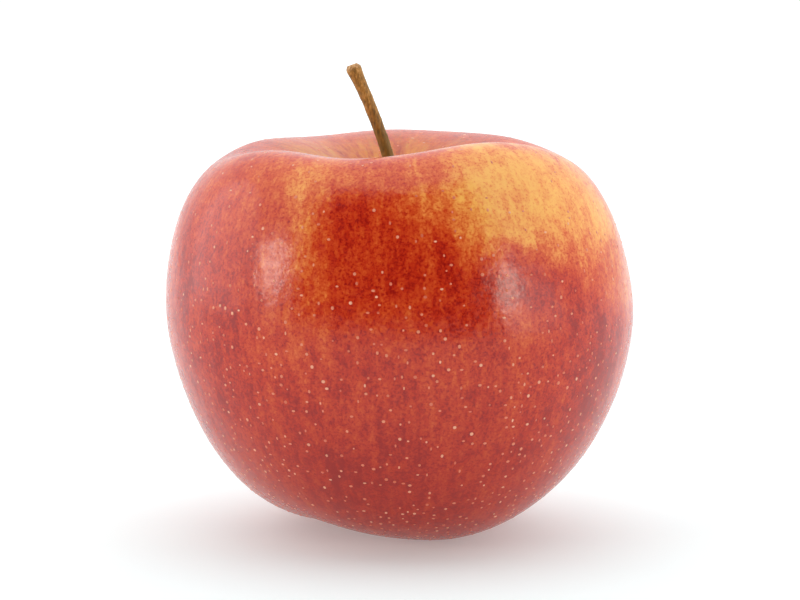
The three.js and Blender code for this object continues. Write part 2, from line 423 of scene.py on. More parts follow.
# %% Flat feet and placing
low = add("GeometryNodeAttributeStatistic",
          {"Geometry": uneven,
           "Attribute": add("ShaderNodeSeparateXYZ", add("GeometryNodeInputPosition")).outputs["Z"]},
          data_type="FLOAT", domain="POINT")
ground = add("ShaderNodeMath ADD", low.outputs["Min"], given["Foot flat depth"])
above = add("ShaderNodeCombineXYZ", -1.0, -1.0, ground)
flat_point = add("ShaderNodeVectorMath MAXIMUM", add("GeometryNodeInputPosition"), above)
standing = add("GeometryNodeSetPosition", {"Geometry": uneven, "Position": flat_point})
outline = add("GeometryNodeBoundBox", {"Geometry": standing})
middle = add("ShaderNodeVectorMath ADD", outline.outputs["Min"], outline.outputs["Max"])
middle = add("ShaderNodeVectorMath MULTIPLY", middle, (-0.5, -0.5, 0))
lift = add("ShaderNodeMath MULTIPLY", ground, -1.0)
lift = add("ShaderNodeCombineXYZ", {"Z": lift})
to_origin = add("ShaderNodeVectorMath ADD", middle, lift)
placed = add("GeometryNodeSetPosition", {"Geometry": standing, "Offset": to_origin})
skin_material = end_shape(tree, placed, "waxed_apple_skin")
skin = grow("skin", tree, skin_sizes)

# %% How far the skin is from the measured fruit
fruit_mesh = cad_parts["fruit"].data
fruit_tree = BVHTree.FromPolygons([v.co for v in fruit_mesh.vertices],
                                  [list(face.vertices) for face in fruit_mesh.polygons])
gaps = [fruit_tree.find_nearest(vertex.co)[3] for vertex in list(skin.data.vertices)[::7]]
print("skin to measured fruit, mm: mean", round(sum(gaps) / len(gaps) / MM, 3),
      "most", round(max(gaps) / MM, 3))

# %% [markdown]
# ## The stalk
#
# An apple's stalk is a thin woody shoot. It stands in the middle of the cavity, bends to one side, and
# ends in a flare where it was joined to the spur, with a torn pith scar. Its bark has fine ridges along it
# and small warts. The tree bends a cylinder along a smooth line through six points. The cylinder's own
# rings say how far along they are, and its caps are divided too, so the scar can be hollowed and its rim
# rounded.

# %% Measures of the stalk
STALK_RADIUS = 0.98 * MM
STALK_FOOT_RADIUS = 1.25 * MM
STALK_SCAR_RADIUS = 1.5 * MM
FOOT_FLARE_POWER = 8.0      # the higher the power, the shorter the flare
SCAR_FLARE_POWER = 12.0
RIM_STARTS = 0.966          # share of the stalk's length where its rim begins to round over
RIM_ROUNDING = 0.80         # 1 would close the end to a point

# The line through the stalk, as steps sideways and upwards from its foot, in millimetres.
STALK_ROUTE = [(0, -1.2), (-0.35, 4.6), (-1.4, 9.2), (-3.0, 14.0), (-5.0, 19.0), (-7.35, 24.25)]

core_x, core_y = (sum(corner[axis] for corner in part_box("stamen_tuft")) / 2 for axis in (0, 1))
cad_stalk_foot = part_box("stalk")[0].z
stalk_sizes = {
    "Radius": STALK_RADIUS,
    "Foot flare": STALK_FOOT_RADIUS - STALK_RADIUS,
    "Scar flare": STALK_SCAR_RADIUS - STALK_RADIUS,
    "Ridge depth": 0.14 * MM,
    "Wart height": 0.06 * MM,
    "Scar depth": 0.45 * MM,
    "End slope": 0.08,
    "Rings": 150,
    "Sides": 56,
}
for number, (sideways, upwards) in enumerate(STALK_ROUTE):
    stalk_sizes[f"Route point {number}"] = (core_x + sideways * MM, core_y, cad_stalk_foot + upwards * MM)
print("stalk foot at", round(core_x / MM, 2), round(core_y / MM, 2), round(cad_stalk_foot / MM, 2), "mm")

# %% The route and the cylinder round it
tree, add, given = shape_tree("apple_stalk", stalk_sizes)
route_line = add("GeometryNodeMeshLine", {"Count": len(STALK_ROUTE)})
route_point = add("GeometryNodeIndexSwitch", {"Index": add("GeometryNodeInputIndex")}, data_type="VECTOR")
while len(route_point.index_switch_items) < len(STALK_ROUTE):
    route_point.index_switch_items.new()
for number in range(len(STALK_ROUTE)):
    tree.links.new(given[f"Route point {number}"], route_point.inputs[str(number)])
route_line = add("GeometryNodeSetPosition", {"Geometry": route_line, "Position": route_point})
route = add("GeometryNodeMeshToCurve", {"Mesh": route_line})
route = add("GeometryNodeCurveSplineType", {"Curve": route}, spline_type="CATMULL_ROM")
route = add("GeometryNodeSetSplineResolution", {"Geometry": route, "Resolution": 24})

tube = add("GeometryNodeMeshCylinder",
           {"Vertices": given["Sides"], "Side Segments": given["Rings"], "Fill Segments": 8,
            "Radius": 1.0, "Depth": 1.0}, fill_type="TRIANGLE_FAN")
tube_position = add("GeometryNodeInputPosition")
tube_point = add("ShaderNodeSeparateXYZ", tube_position)
along = add("ShaderNodeMath ADD", tube_point.outputs["Z"], 0.5)
flat = add("ShaderNodeCombineXYZ", tube_point.outputs["X"], tube_point.outputs["Y"])
from_core = add("ShaderNodeVectorMath LENGTH", flat).outputs["Value"]

# %% Its thickness, ridges and warts
foot_fade = add("ShaderNodeMath SUBTRACT", 1.0, along)
foot_fade = add("ShaderNodeMath POWER", foot_fade, FOOT_FLARE_POWER)
scar_fade = add("ShaderNodeMath POWER", along, SCAR_FLARE_POWER)
thick = add("ShaderNodeMath MULTIPLY_ADD", foot_fade, given["Foot flare"], given["Radius"])
thick = add("ShaderNodeMath MULTIPLY_ADD", scar_fade, given["Scar flare"], thick)

ridge_space = add("ShaderNodeVectorMath MULTIPLY", tube_position, (1.0, 1.0, 1.6))
ridges = add("ShaderNodeTexNoise",
             {"Vector": ridge_space, "Scale": 2.4, "Detail": 2.0, "Roughness": 0.55})
ridges = add("ShaderNodeMath SUBTRACT", ridges, 0.5)
wart_space = add("ShaderNodeVectorMath MULTIPLY", tube_position, (1.0, 1.0, 14.0))
warts = add("ShaderNodeTexNoise", {"Vector": wart_space, "Scale": 1.5, "Detail": 1.5, "Roughness": 0.6})
warts = add("ShaderNodeMapRange", warts, 0.48, 0.72, 0.0, 1.0, interpolation_type="SMOOTHSTEP")
thick = add("ShaderNodeMath MULTIPLY_ADD", ridges, given["Ridge depth"], thick)
thick = add("ShaderNodeMath MULTIPLY_ADD", warts, given["Wart height"], thick)
rim_step = add("ShaderNodeMapRange", along, RIM_STARTS, 1.0, 0.0, RIM_ROUNDING)
rim_square = add("ShaderNodeMath MULTIPLY", rim_step, rim_step)
rim_left = add("ShaderNodeMath SUBTRACT", 1.0, rim_square)
rim_round = add("ShaderNodeMath SQRT", rim_left)
thick = add("ShaderNodeMath MULTIPLY", rim_round, thick)
thick = add("ShaderNodeMath MULTIPLY", from_core, thick)

# %% Following the route, and the hollow of the scar
sample = add("GeometryNodeSampleCurve", {"Curves": route, "Factor": along}, mode="FACTOR")
across = add("ShaderNodeVectorMath CROSS_PRODUCT", sample.outputs["Normal"], sample.outputs["Tangent"])
turned = add("ShaderNodeVectorMath NORMALIZE", flat)
turned = add("ShaderNodeSeparateXYZ", turned)
side_a = add("ShaderNodeVectorMath SCALE", across, {"Scale": turned.outputs["X"]})
side_b = add("ShaderNodeVectorMath SCALE", sample.outputs["Normal"], {"Scale": turned.outputs["Y"]})
outwards = add("ShaderNodeVectorMath ADD", side_a, side_b)
outwards = add("ShaderNodeVectorMath SCALE", outwards, {"Scale": thick})
bark_point = add("ShaderNodeVectorMath ADD", sample.outputs["Position"], outwards)

# The end broke off almost square to the stalk.
near_end = add("ShaderNodeMapRange", along, 0.92, 1.0, 0.0, given["End slope"],
               interpolation_type="SMOOTHSTEP")
end_lift = add("ShaderNodeMath MULTIPLY", add("ShaderNodeSeparateXYZ", outwards).outputs["X"], near_end)
end_lift = add("ShaderNodeCombineXYZ", {"Z": end_lift})
bark_point = add("ShaderNodeVectorMath SUBTRACT", bark_point, end_lift)

is_scar = add("ShaderNodeMath GREATER_THAN", along, 0.9999)
hollow = add("ShaderNodeMapRange", from_core, 0.9, 0.35, -0.3, 1.0, interpolation_type="SMOOTHSTEP")
torn = add("ShaderNodeTexNoise", {"Vector": flat, "Scale": 2.2, "Detail": 3.0, "Roughness": 0.7})
torn = add("ShaderNodeMath ADD", torn, 0.35)
hollow = add("ShaderNodeMath MULTIPLY", hollow, torn)
hollow = add("ShaderNodeMath MULTIPLY", hollow, is_scar)
hollow = add("ShaderNodeMath MULTIPLY", hollow, given["Scar depth"])
hollow = add("ShaderNodeMath MULTIPLY", hollow, -1.0)
inwards = add("ShaderNodeVectorMath SCALE", sample.outputs["Tangent"], {"Scale": hollow})
bark_point = add("ShaderNodeVectorMath ADD", bark_point, inwards)

# %% How far along the stalk each point is stays with the mesh, for the bark to read
marked = add("GeometryNodeStoreNamedAttribute", {"Geometry": tube, "Name": "along", "Value": along},
             data_type="FLOAT", domain="POINT")
bent = add("GeometryNodeSetPosition", {"Geometry": marked, "Position": bark_point})
bark_material = end_shape(tree, bent, "weathered_stalk_bark")
stalk = grow("stalk_grown", tree, stalk_sizes)

# %% [markdown]
# ## What is left of the flower
#
# Under the apple, in the basin, the dried sepals still stand in a ring of five round the dried stamens.
# One sepal is a thin leaf, broad at its base, folded along its keel and curled at its tip. The tree shapes
# one leaf from a sphere, puts five of them on a ring, turns and scales each a little differently, and then
# crinkles them all, so no two are alike.

# %% The sepals
LEAF_WIDEST = 0.45          # below 1 the leaf is widest near its base, above 1 near its tip
LEAF_FULLNESS = 0.75        # below 1 its sides are fuller than a plain sine
LEAF_CURL = 2.5             # the higher, the nearer to the tip the leaf starts to curl outwards
cad_sepal_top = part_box("sepal_1")[1].z
sepal_sizes = {
    "Length": 5.2 * MM,
    "Width": 3.0 * MM,
    "Thickness": 0.34 * MM,
    "Spread": 1.5 * MM,
    "Ring radius": 2.1 * MM,
    "Keel": 0.5 * MM,
    "Crinkle": 0.55 * MM,
    "Seed": 7,
    "Ring centre": (core_x, core_y, cad_sepal_top + 0.5 * MM),
}
tree, add, given = shape_tree("dried_sepals", sepal_sizes)
leaf = add("GeometryNodeMeshUVSphere", {"Segments": 28, "Rings": 30, "Radius": 1.0})
leaf_point = add("ShaderNodeSeparateXYZ", add("GeometryNodeInputPosition"))
leaf_turn = add("ShaderNodeMath ARCTAN2", leaf_point.outputs["Y"], leaf_point.outputs["X"])
leaf_along = add("ShaderNodeMath ARCCOSINE", leaf_point.outputs["Z"])
leaf_along = add("ShaderNodeMath DIVIDE", leaf_along, math.pi)
leaf_shape = add("ShaderNodeMath POWER", leaf_along, LEAF_WIDEST)
leaf_shape = add("ShaderNodeMath MULTIPLY", leaf_shape, math.pi)
leaf_shape = add("ShaderNodeMath SINE", leaf_shape)
leaf_shape = add("ShaderNodeMath MAXIMUM", leaf_shape, 0.0)
leaf_shape = add("ShaderNodeMath POWER", leaf_shape, LEAF_FULLNESS)
leaf_face = add("ShaderNodeMath COSINE", leaf_turn)
leaf_edge = add("ShaderNodeMath SINE", leaf_turn)
leaf_edge = add("ShaderNodeMath MULTIPLY", leaf_edge, leaf_shape)
leaf_face = add("ShaderNodeMath MULTIPLY", leaf_face, leaf_shape)
leaf_face = add("ShaderNodeMath MULTIPLY", leaf_face, given["Thickness"])
sideways = add("ShaderNodeMath MULTIPLY", leaf_edge, given["Width"])
sideways = add("ShaderNodeMath MULTIPLY", sideways, 0.5)
fold = add("ShaderNodeMath MULTIPLY", leaf_edge, leaf_edge)
fold = add("ShaderNodeMath MULTIPLY", fold, given["Keel"])
curl = add("ShaderNodeMath POWER", leaf_along, LEAF_CURL)
curl = add("ShaderNodeMath MULTIPLY", curl, given["Spread"])
outward = add("ShaderNodeMath MULTIPLY_ADD", leaf_face, 0.5, curl)
outward = add("ShaderNodeMath SUBTRACT", outward, fold)
down = add("ShaderNodeMath MULTIPLY", leaf_along, given["Length"])
down = add("ShaderNodeMath MULTIPLY", down, -1.0)
leaf_place = add("ShaderNodeCombineXYZ", outward, sideways, down)
leaf = add("GeometryNodeStoreNamedAttribute", {"Geometry": leaf, "Name": "along", "Value": leaf_along},
           data_type="FLOAT", domain="POINT")
leaf = add("GeometryNodeSetPosition", {"Geometry": leaf, "Position": leaf_place})

# %% Five of them on a ring
ring_of_five = add("GeometryNodeMeshCircle", {"Vertices": 5, "Radius": given["Ring radius"]})
sepal_index = add("GeometryNodeInputIndex")
sepal_turn = add("ShaderNodeMath MULTIPLY", sepal_index, FULL_TURN / 5)
wobble = add("FunctionNodeRandomValue",
             {"Min": (-0.05, -0.28, -0.12), "Max": (0.05, 0.3, 0.12), "Seed": given["Seed"]},
             data_type="FLOAT_VECTOR")
sepal_turn = add("ShaderNodeCombineXYZ", {"Z": sepal_turn})
sepal_turn = add("ShaderNodeVectorMath ADD", sepal_turn, wobble)
sepal_scale = add("FunctionNodeRandomValue", {"Min": 0.86, "Max": 1.0, "Seed": given["Seed"]},
                  data_type="FLOAT")
five = add("GeometryNodeInstanceOnPoints",
           {"Points": ring_of_five, "Instance": leaf, "Rotation": sepal_turn, "Scale": sepal_scale})
five = add("GeometryNodeTranslateInstances",
           {"Instances": five, "Translation": given["Ring centre"], "Local Space": False})
five = add("GeometryNodeRealizeInstances", {"Geometry": five})
crinkle = add("ShaderNodeTexNoise",
              {"Vector": add("GeometryNodeInputPosition"), "Scale": 1 / (2.2 * MM), "Detail": 2.0,
               "Roughness": 0.55})
crinkle = add("ShaderNodeVectorMath SUBTRACT", crinkle.outputs["Color"], (0.5, 0.5, 0.5))
crinkle = add("ShaderNodeVectorMath SCALE", crinkle, {"Scale": given["Crinkle"]})
five = add("GeometryNodeSetPosition", {"Geometry": five, "Offset": crinkle})
sepal_material = end_shape(tree, five, "dried_downy_sepal")
sepals = grow("sepals", tree, sepal_sizes)

# %% [markdown]
# ## The stamens
#
# Each stamen dries to a stiff thread with a small dark anther at its tip. Fifteen of them stand in a ring
# round the five styles, which dry to much the same thing, all tilted a little at random. A cylinder and a
# small ball make one; the tree repeats it.

# %% The stamens
ANTHER_PLACE = 1.9          # in half threads, so the anther sits a little short of the thread's end
cad_tuft_low, cad_tuft_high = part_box("stamen_tuft")
stamen_sizes = {
    "Thread length": cad_tuft_high.z - cad_tuft_low.z,
    "Thread radius": 0.11 * MM,
    "Anther radius": 0.24 * MM,
    "Outer ring": 0.85 * MM,
    "Inner ring": 0.35 * MM,
    "Bend": 0.5 * MM,
    "Seed": 3,
    "Root": (core_x, core_y, cad_tuft_high.z + 0.3 * MM),
}
tree, add, given = shape_tree("dried_stamens", stamen_sizes)
thread = add("GeometryNodeMeshCylinder",
             {"Vertices": 8, "Side Segments": 8, "Radius": given["Thread radius"],
              "Depth": given["Thread length"]}, fill_type="TRIANGLE_FAN")
half_down = add("ShaderNodeMath MULTIPLY", given["Thread length"], -0.5)
half_down = add("ShaderNodeCombineXYZ", {"Z": half_down})
thread = add("GeometryNodeTransform", {"Geometry": thread, "Translation": half_down})
anther = add("GeometryNodeMeshUVSphere", {"Segments": 10, "Rings": 8, "Radius": given["Anther radius"]})
tip = add("ShaderNodeVectorMath SCALE", half_down, {"Scale": ANTHER_PLACE})
anther = add("GeometryNodeTransform", {"Geometry": anther, "Translation": tip, "Scale": (0.8, 1.1, 1.5)})
stamen = add("GeometryNodeJoinGeometry", {"Geometry": thread})
tree.links.new(anther.outputs["Geometry"], stamen.inputs["Geometry"])
stands = add("GeometryNodeJoinGeometry")
for ring_name, stamen_count in (("Outer ring", 15), ("Inner ring", 5)):
    circle = add("GeometryNodeMeshCircle", {"Vertices": stamen_count, "Radius": given[ring_name]})
    tree.links.new(circle.outputs["Mesh"], stands.inputs["Geometry"])
tilts = add("FunctionNodeRandomValue",
            {"Min": (-0.16, -0.16, 0.0), "Max": (0.16, 0.16, FULL_TURN), "Seed": given["Seed"]},
            data_type="FLOAT_VECTOR")
lengths = add("FunctionNodeRandomValue", {"Min": 0.72, "Max": 1.0, "Seed": given["Seed"]},
              data_type="FLOAT")
tuft = add("GeometryNodeInstanceOnPoints",
           {"Points": stands, "Instance": stamen, "Rotation": tilts, "Scale": lengths})
tuft = add("GeometryNodeTranslateInstances",
           {"Instances": tuft, "Translation": given["Root"], "Local Space": False})
tuft = add("GeometryNodeRealizeInstances", {"Geometry": tuft})
bend = add("ShaderNodeTexNoise",
           {"Vector": add("GeometryNodeInputPosition"), "Scale": 1 / (2.5 * MM), "Detail": 0.0})
bend = add("ShaderNodeVectorMath SUBTRACT", bend.outputs["Color"], (0.5, 0.5, 0.5))
bend = add("ShaderNodeVectorMath SCALE", bend, {"Scale": given["Bend"]})
tuft = add("GeometryNodeSetPosition", {"Geometry": tuft, "Offset": bend})
stamen_material = end_shape(tree, tuft, "dried_stamen_threads")
stamens = grow("stamens", tree, stamen_sizes)

# %% [markdown]
# ## Lenticels
#
# The pale dots on an apple are its lenticels, the corky pores it breathes through. They are about half a
# millimetre wide and very slightly raised. On the shoulder they are far apart; towards the basin they crowd
# together. The tree scatters points over the grown skin, no two closer than a set distance, and keeps more
# of them the lower they are, but none where the feet touch the table. On each it puts a flat dome of a few
# faces, turned to the skin.

# %% Scattering the lenticels
lenticel_sizes = {
    "Closest": 1.05 * MM,
    "Most per square metre": 460000.0,
    "Radius": 0.37 * MM,
    "Dome height": 0.075 * MM,
    "Sunk": 0.04 * MM,
    "Clear of the feet": 0.6 * MM,
    "Seed": 11,
}
tree, add, given = shape_tree("lenticels", {"Skin": "mesh", **lenticel_sizes})
skin_height = add("ShaderNodeSeparateXYZ", add("GeometryNodeInputPosition")).outputs["Z"]
crowding = add("ShaderNodeMapRange", skin_height, 66 * MM, 14 * MM, 0.12, 1.0)
clusters = add("ShaderNodeTexNoise",
               {"Vector": add("GeometryNodeInputPosition"), "Scale": 1 / (9 * MM), "Detail": 1.0})
clusters = add("ShaderNodeMapRange", clusters, 0.3, 0.65, 0.5, 1.0)
crowding = add("ShaderNodeMath MULTIPLY", crowding, clusters)
off_the_feet = add("ShaderNodeMath GREATER_THAN", skin_height, given["Clear of the feet"])
crowding = add("ShaderNodeMath MULTIPLY", crowding, off_the_feet)
scatter = add("GeometryNodeDistributePointsOnFaces",
              {"Mesh": given["Skin"], "Distance Min": given["Closest"],
               "Density Max": given["Most per square metre"], "Density Factor": crowding,
               "Seed": given["Seed"]}, distribute_method="POISSON")
dome = add("GeometryNodeMeshCone",
           {"Vertices": 10, "Radius Top": 0.5, "Radius Bottom": 1.0, "Depth": 1.0},
           fill_type="TRIANGLE_FAN")
dome_scale = add("ShaderNodeCombineXYZ", given["Radius"], given["Radius"], given["Dome height"])
dome = add("GeometryNodeTransform", {"Geometry": dome, "Scale": dome_scale})
dome_spread = add("FunctionNodeRandomValue",
                  {"Min": (0.5, 0.5, 0.9), "Max": (1.1, 1.1, 1.1), "Seed": given["Seed"]},
                  data_type="FLOAT_VECTOR")
dots = add("GeometryNodeInstanceOnPoints",
           {"Points": scatter, "Instance": dome, "Rotation": scatter.outputs["Rotation"],
            "Scale": dome_spread})
tone = add("FunctionNodeRandomValue", {"Min": 0.0, "Max": 1.0, "Seed": given["Seed"]}, data_type="FLOAT")
dots = add("GeometryNodeStoreNamedAttribute", {"Geometry": dots, "Name": "tone", "Value": tone},
           data_type="FLOAT", domain="INSTANCE")
sink = add("ShaderNodeMath MULTIPLY", given["Sunk"], -1.0)
sink = add("ShaderNodeCombineXYZ", {"Z": sink})
dots = add("GeometryNodeTranslateInstances",
           {"Instances": dots, "Translation": sink, "Local Space": True})
lenticel_material = end_shape(tree, dots, "corky_lenticel_under_wax")
lenticels = grow("lenticels", tree, lenticel_sizes, start=skin.data.copy())

# %% [markdown]
# ## Finishes
#
# A patterned finish is a tree of noises and colour ramps. Most are read in object space with sizes in
# millimetres, so a pattern keeps its real size. The skin's streaks are read along the meridian instead, so
# they follow its shape. One function opens a material with its Principled shader; plain values go straight
# on the shader's sockets.

# %% Opening a material


def finish_of(material, **values):
    """Empties a material and returns its tree, its "add" and a Principled shader wired to the output."""
    material.use_nodes = True
    tree = material.node_tree
    tree.nodes.clear()
    shader = add_node(tree, "ShaderNodeBsdfPrincipled")
    for socket, value in values.items():
        shader.inputs[socket.replace("_", " ")].default_value = value
    add_node(tree, "ShaderNodeOutputMaterial", {"Surface": shader.outputs["BSDF"]})
    return tree, partial(add_node, tree), shader


def colours_along(tree, amount, stops):
    """A colour ramp over an amount from 0 to 1, with hex colours at the given places."""
    ramp = add_node(tree, "ShaderNodeValToRGB", {"Fac": amount})
    while len(ramp.color_ramp.elements) < len(stops):
        ramp.color_ramp.elements.new(0.5)
    for element, (position, hex_colour) in zip(ramp.color_ramp.elements, stops):
        element.position = position
        element.color = linear(hex_colour)
    return ramp.outputs["Color"]


# %% [markdown]
# ## The skin's colour
#
# The ground colour of this apple is yellow. The red is a blush that the sun brings out over it, so the two
# are one amount: no blush is yellow, some is orange, much is crimson. The blush thins out in patches that
# the leaves kept in shade. Other patches deepen it on both cheeks and low on the front, partly as the
# apple's own red and partly as painted shade. It lies in streaks that run down from the crest, and in a
# fine grain under a millimetre wide, because each cell of the skin holds more or less of the pigment.

# %% A soft patch as a node group: pale patches from leaf shade, and painted shade
patch_tree = bpy.data.node_groups.new("blush_patch_and_painted_shade", "ShaderNodeTree")
add = partial(add_node, patch_tree)
for socket_name in ("Point", "Centre", "Size"):
    patch_tree.interface.new_socket(socket_name, in_out="INPUT", socket_type="NodeSocketVector")
patch_tree.interface.new_socket("Amount", in_out="OUTPUT", socket_type="NodeSocketFloat")
patch_in = add("NodeGroupInput")
offset = add("ShaderNodeVectorMath SUBTRACT", patch_in.outputs["Point"], patch_in.outputs["Centre"])
offset = add("ShaderNodeVectorMath DIVIDE", offset, patch_in.outputs["Size"])
offset = add("ShaderNodeVectorMath LENGTH", offset)
patch_amount = add("ShaderNodeMapRange", offset.outputs["Value"], 1.25, 0.35, 0.0, 1.0,
                   interpolation_type="SMOOTHSTEP")
add("NodeGroupOutput", {"Amount": patch_amount.outputs["Result"]})

# Each patch: centre and size in millimetres, and how much blush it takes away. A minus adds blush.
# Those that take blush away are pale places that leaves kept in shade. Those with a minus on both cheeks
# and low on the front deepen the red partly as the apple's own colour and partly as painted shade.
BLUSH_PATCHES_WITH_PAINTED_SHADE = [
    ((20, -20, 58.5), (19, 34, 12.5), 0.62),
    ((36, -12, 49), (9, 26, 12), 0.30),
    ((-24, -24, 57), (19, 26, 14), 0.10),
    ((-15, -33, 50), (4.5, 12, 17), 0.18),
    ((-2, -26, 63), (26, 20, 6), 0.20),
    ((9.5, -36, 49), (5, 12, 11), -0.14),
    ((19, -32, 47.5), (9, 14, 5.5), -0.22),
    ((30, -22, 28), (10, 16, 12), -0.10),
    ((-31, -20, 25), (10, 18, 12), -0.12),
    ((-31, -22, 44), (11, 20, 18), -0.12),
    ((33, -20, 38), (7, 18, 12), -0.12),
    ((-8.5, -34, 13), (4, 12, 10), -0.14),
    ((0, -34, 15), (34, 30, 14), -0.10),
    ((-10, 32, 48), (20, 18, 22), 0.50),
    ((-36, 12, 34), (14, 12, 16), 0.22),
    ((30, 24, 24), (14, 14, 12), 0.20),
]
print("blush patches with painted shade:", len(BLUSH_PATCHES_WITH_PAINTED_SHADE))

# %% [markdown]
# ## Waxed apple skin
#
# A ripe apple grows its own wax and is polished by handling. To the eye that is a smooth, thin, clear layer
# over a deep colour: sharp enough to show the windows of a room, but broken up at the edges by the fine
# pimples of the skin. Plant wax has an IOR of about 1.45, and 1.47 makes what it mirrors a little brighter.
# A little light goes into the flesh and comes out again nearby, which softens the shade of the dots and
# the edges.

# %% Skin: the amount of blush
tree, add, shader = finish_of(skin_material, IOR=1.47, Subsurface_Weight=0.06)
shader.inputs["Subsurface Radius"].default_value = (1.0, 0.35, 0.2)
shader.inputs["Subsurface Scale"].default_value = 1.2 * MM

object_point = add("ShaderNodeTexCoord").outputs["Object"]
mm_point = add("ShaderNodeVectorMath MULTIPLY", object_point, (1 / MM, 1 / MM, 1 / MM))
meridian = add("ShaderNodeAttribute", attribute_name="meridian").outputs["Vector"]
meridian_parts = add("ShaderNodeSeparateXYZ", meridian)
skin_place = meridian_parts.outputs["Z"]

warp = add("ShaderNodeTexNoise", {"Vector": mm_point, "Scale": 1 / 6, "Detail": 2.0, "Roughness": 0.6})
warp = add("ShaderNodeVectorMath SUBTRACT", warp.outputs["Color"], (0.5, 0.5, 0.5))
warp = add("ShaderNodeVectorMath SCALE", warp, {"Scale": 9.0})
warped_point = add("ShaderNodeVectorMath ADD", mm_point, warp)

# The blush before any pattern; each layer then varies it by up to its strength.
blush = 0.70
for layer_name, coordinates, stretch, feature, detail, strength in (
    ("broad streaks", meridian, (1, 1, 0.16), 1 / 9, 3.0, 0.18),
    ("narrow streaks", meridian, (1, 1, 0.12), 1 / 26, 2.0, 0.17),
    ("dashes", meridian, (38, 38, 16), 0.8, 2.0, 0.15),
    ("clouds", mm_point, (1, 1, 1), 9.0, 2.0, 0.16),
    ("mottle", mm_point, (1, 1, 0.8), 1.8, 2.0, 0.25),
    ("grain", mm_point, (1, 1, 0.85), 0.55, 3.0, 0.27),
):
    stretched = add("ShaderNodeVectorMath MULTIPLY", coordinates, stretch)
    layer = add("ShaderNodeTexNoise",
                {"Vector": stretched, "Scale": 1 / feature, "Detail": detail, "Roughness": 0.6},
                label=layer_name)
    layer = add("ShaderNodeMath SUBTRACT", layer, 0.5)
    blush = add("ShaderNodeMath MULTIPLY_ADD", layer, 2 * strength, blush)
specks = add("ShaderNodeTexNoise",
             {"Vector": mm_point, "Scale": 1 / 0.42, "Detail": 3.0, "Roughness": 0.75})
specks = add("ShaderNodeMapRange", specks, 0.48, 0.76, 0.0, 0.40)
blush = add("ShaderNodeMath ADD", blush, specks)
# Patches with a minus on the cheeks and low on the front are partly painted shade.
for centre, size, strength in BLUSH_PATCHES_WITH_PAINTED_SHADE:
    patch = add("ShaderNodeGroup", {"Point": warped_point, "Centre": centre, "Size": size},
                node_tree=patch_tree)
    blush = add("ShaderNodeMath MULTIPLY_ADD", patch, -strength, blush)

# %% Skin: from blush to colour
colour = colours_along(tree, blush, [
    (0.00, "#fbb95a"), (0.20, "#f39e4c"), (0.40, "#e57334"), (0.60, "#d54c1e"), (0.80, "#c42d12"),
    (1.00, "#9b130a"),
])

# The cavity never gets much sun: ochre, with thin russet lines that run down into it.
cavity_amount = add("ShaderNodeMapRange", skin_place, 1.0, 0.62, 0.0, 0.85,
                    interpolation_type="SMOOTHSTEP")
russet = add("ShaderNodeVectorMath MULTIPLY", meridian, (1, 1, 0.5))
russet_noise = add("ShaderNodeTexNoise",
                   {"Vector": russet, "Scale": 6.5, "Detail": 5.0, "Roughness": 0.72})
russet = colours_along(tree, russet_noise.outputs["Fac"], [
    (0.34, "#dc9a2a"), (0.47, "#d07a24"), (0.58, "#b9521b"), (0.70, "#8c3414"),
])
colour = add("ShaderNodeMix", {"Factor": cavity_amount, "A": colour, "B": russet}, data_type="RGBA")

# The basin is sheltered too, and takes the ochre and russet of the cavity. The belly near it is a duller red.
dull_amount = add("ShaderNodeMapRange", skin_place, 2.05, 2.7, 0.0, 0.45, interpolation_type="SMOOTHSTEP")
colour = add("ShaderNodeMix", {"Factor": dull_amount, "A": colour, "B": linear("#9a2418")},
             data_type="RGBA")
basin_place = add("ShaderNodeMath MULTIPLY_ADD", russet_noise, 1.2, skin_place)
basin_amount = add("ShaderNodeMapRange", basin_place, 3.65, 4.45, 0.0, 1.0,
                   interpolation_type="SMOOTHSTEP")
colour = add("ShaderNodeMix", {"Factor": basin_amount, "A": colour, "B": russet}, data_type="RGBA")
tree.links.new(colour.outputs[2], shader.inputs["Base Color"])

# %% Skin: pimples and gloss
pimples = add("ShaderNodeTexNoise",
              {"Vector": mm_point, "Scale": 1 / 0.75, "Detail": 1.0, "Roughness": 0.5})
dimples = add("ShaderNodeTexNoise",
              {"Vector": mm_point, "Scale": 1 / 2.6, "Detail": 1.0, "Roughness": 0.5})
relief = add("ShaderNodeMath MULTIPLY_ADD", dimples, 2.5, pimples)
bump = add("ShaderNodeBump", {"Strength": 1.0, "Distance": 0.030 * MM, "Height": relief})
tree.links.new(bump.outputs["Normal"], shader.inputs["Normal"])
gloss = add("ShaderNodeMapRange", pimples.outputs["Fac"], 0.3, 0.7, 0.17, 0.27)
tree.links.new(gloss.outputs["Result"], shader.inputs["Roughness"])
print("skin material nodes:", len(tree.nodes))

# %% [markdown]
# ## Corky lenticels under wax
#
# A lenticel is a plug of pale cork that the wax has run over, so it keeps most of the gloss of the skin but
# little of its red. Each one is a little paler or deeper than the next.

# %% Lenticels
tree, add, shader = finish_of(lenticel_material, Roughness=0.30, IOR=1.45)
tone = add("ShaderNodeAttribute", attribute_name="tone").outputs["Fac"]
colour = colours_along(tree, tone, [
    (0.0, "#d46646"), (0.35, "#df7a5a"), (0.75, "#ea9674"), (1.0, "#f4ba98"),
])
tree.links.new(colour, shader.inputs["Base Color"])

# %% [markdown]
# ## Weathered stalk bark
#
# The stalk is wood under a dry, matt bark. It is olive where the cavity kept it fresh and brown higher up,
# with pale dashes of cork along it and a raw tan scar at the end. Wood scatters light in all directions,
# so the roughness is high.

